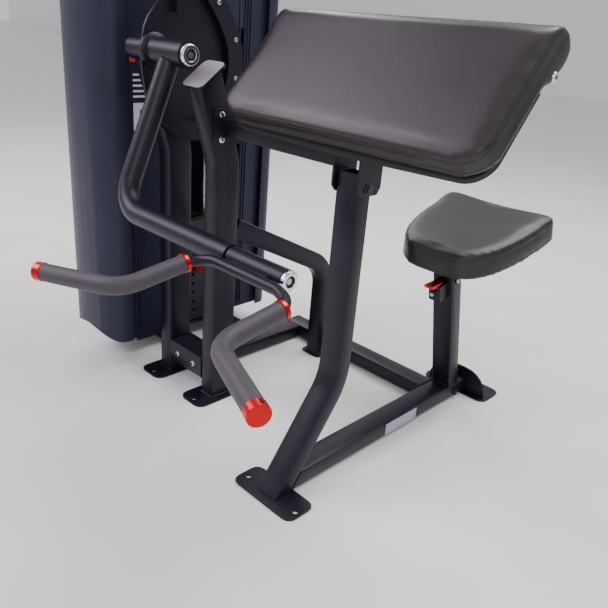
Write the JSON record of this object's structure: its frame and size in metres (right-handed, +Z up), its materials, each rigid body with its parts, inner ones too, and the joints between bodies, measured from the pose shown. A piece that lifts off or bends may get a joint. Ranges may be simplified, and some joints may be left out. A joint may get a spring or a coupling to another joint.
{
  "type": "selectorized arm-curl machine",
  "caption": "Seated arm-curl gym machine with a sloping arm pad, seat, swinging curl arm and enclosed pin-selected weight stack.",
  "frame": {"origin": "centre of the footprint box at floor level", "axes": "+Z up; the user faces -Y; the weight tower is on the -X side"},
  "size_m": [1.224, 1.1663, 1.458],
  "materials": {
    "powder": "satin charcoal powder coat",
    "panel": "fine textured charcoal powder coat",
    "leather": "soft grained black upholstery",
    "board": "black sealed board",
    "rubber": "matt dark grey",
    "red": "red anodized",
    "chrome": "polished",
    "steel": "brushed",
    "iron": "black painted casting",
    "nylon": "moulded nylon",
    "cable": "black jacketed wire rope"
  },
  "bodies": {
    "frame": {"front_upright": "powder", "main_rail": "powder", "front_foot": "powder", "rear_foot": "powder", "cross_rail": "powder", "tower_rail": "powder", "column_near": "powder", "column_far": "powder", "column_tie": "powder", "column_brace": "powder", "arm_pad": "leather", "arm_pad_board": "board", "pad_beam": "powder", "pad_bracket": "powder", "seat_post": "powder", "seat_latch_housing": "powder", "pivot_bearing": "powder", "tower_base": "powder", "tower_post": "powder", "shroud_front": "panel", "shroud_rear": "panel", "side_panel_near": "panel", "side_panel_far": "panel", "top_frame": "powder", "guide_rod_front": "chrome", "guide_rod_rear": "chrome", "stack_cushion": "rubber", "cable_over": "cable", "cable_stack": "cable", "weight_plate_5": "iron", "weight_plate_6": "iron", "weight_plate_7": "iron", "weight_plate_8": "iron", "weight_plate_9": "iron"},
    "arm": {"cam_plate": "powder", "cam_rim": "powder", "arm_tube": "powder", "pivot_shaft": "chrome", "handle_axle": "chrome", "cable_cam": "cable"},
    "handle": {"handle_sleeve": "powder", "handle_bar": "powder", "grip_left": "rubber", "grip_right": "rubber", "grip_ring_left": "red", "grip_ring_right": "red", "grip_cap_left": "red", "grip_cap_right": "red"},
    "stack": {"head_plate": "iron", "weight_plate_1": "iron", "weight_plate_2": "iron", "weight_plate_3": "iron", "weight_plate_4": "iron"},
    "selector": {"selector_pin": "red"},
    "wheel_stack": {"pulley_stack": "nylon"},
    "wheel_cam": {"pulley_cam": "nylon"},
    "seat": {"seat_carriage": "powder", "seat_pad": "leather"},
    "lever": {"seat_lever": "red"},
    "latch": {"seat_latch_pin": "steel"}
  },
  "joints": [
    {"name": "arm_lift", "type": "hinge", "parent": "frame", "child": "arm", "pos_m": [-0.184, -0.15385, 0.866], "axis": [-1, 0, 0], "range_deg": [0, 120]},
    {"name": "handle_swing", "type": "hinge", "parent": "arm", "child": "handle", "pos_m": [0.292, -0.28985, 0.534], "axis": [-1, 0, 0], "range_deg": [-45, 45]},
    {"name": "stack_lift", "type": "slide", "parent": "frame", "child": "stack", "axis": [0, 0, 1], "range_m": [0, 0.52], "deforming": ["cable_stack"]},
    {"name": "wheel_stack_spin", "type": "hinge", "parent": "frame", "child": "wheel_stack", "pos_m": [-0.442, 0.09315, 1.404], "axis": [0, 1, 0], "continuous": true},
    {"name": "wheel_cam_spin", "type": "hinge", "parent": "frame", "child": "wheel_cam", "pos_m": [-0.301, 0.09315, 1.404], "axis": [0, 1, 0], "continuous": true},
    {"name": "selector_slide", "type": "slide", "parent": "stack", "child": "selector", "axis": [1, 0, 0], "range_m": [0, 0.075]},
    {"name": "seat_height", "type": "slide", "parent": "frame", "child": "seat", "axis": [0, -0.2419, 0.9703], "range_m": [0, 0.105]},
    {"name": "seat_lever_tilt", "type": "hinge", "parent": "frame", "child": "lever", "pos_m": [0.292, 0.31586, 0.37085], "axis": [-1, 0, 0], "range_deg": [0, 14], "stiffness_Nm_per_rad": 1, "springref_deg": -22.92},
    {"name": "seat_pin_slide", "type": "slide", "parent": "frame", "child": "latch", "axis": [0, -0.9703, -0.2419], "range_m": [0, 0.0072]}
  ],
  "couplings": [
    {"joint": "stack_lift", "follows": "arm_lift", "m_per_rad": 0.23},
    {"joint": "wheel_stack_spin", "follows": "arm_lift", "ratio": 4.55},
    {"joint": "wheel_cam_spin", "follows": "arm_lift", "ratio": 4.55},
    {"joint": "seat_pin_slide", "follows": "seat_lever_tilt", "m_per_rad": 0.028}
  ]
}
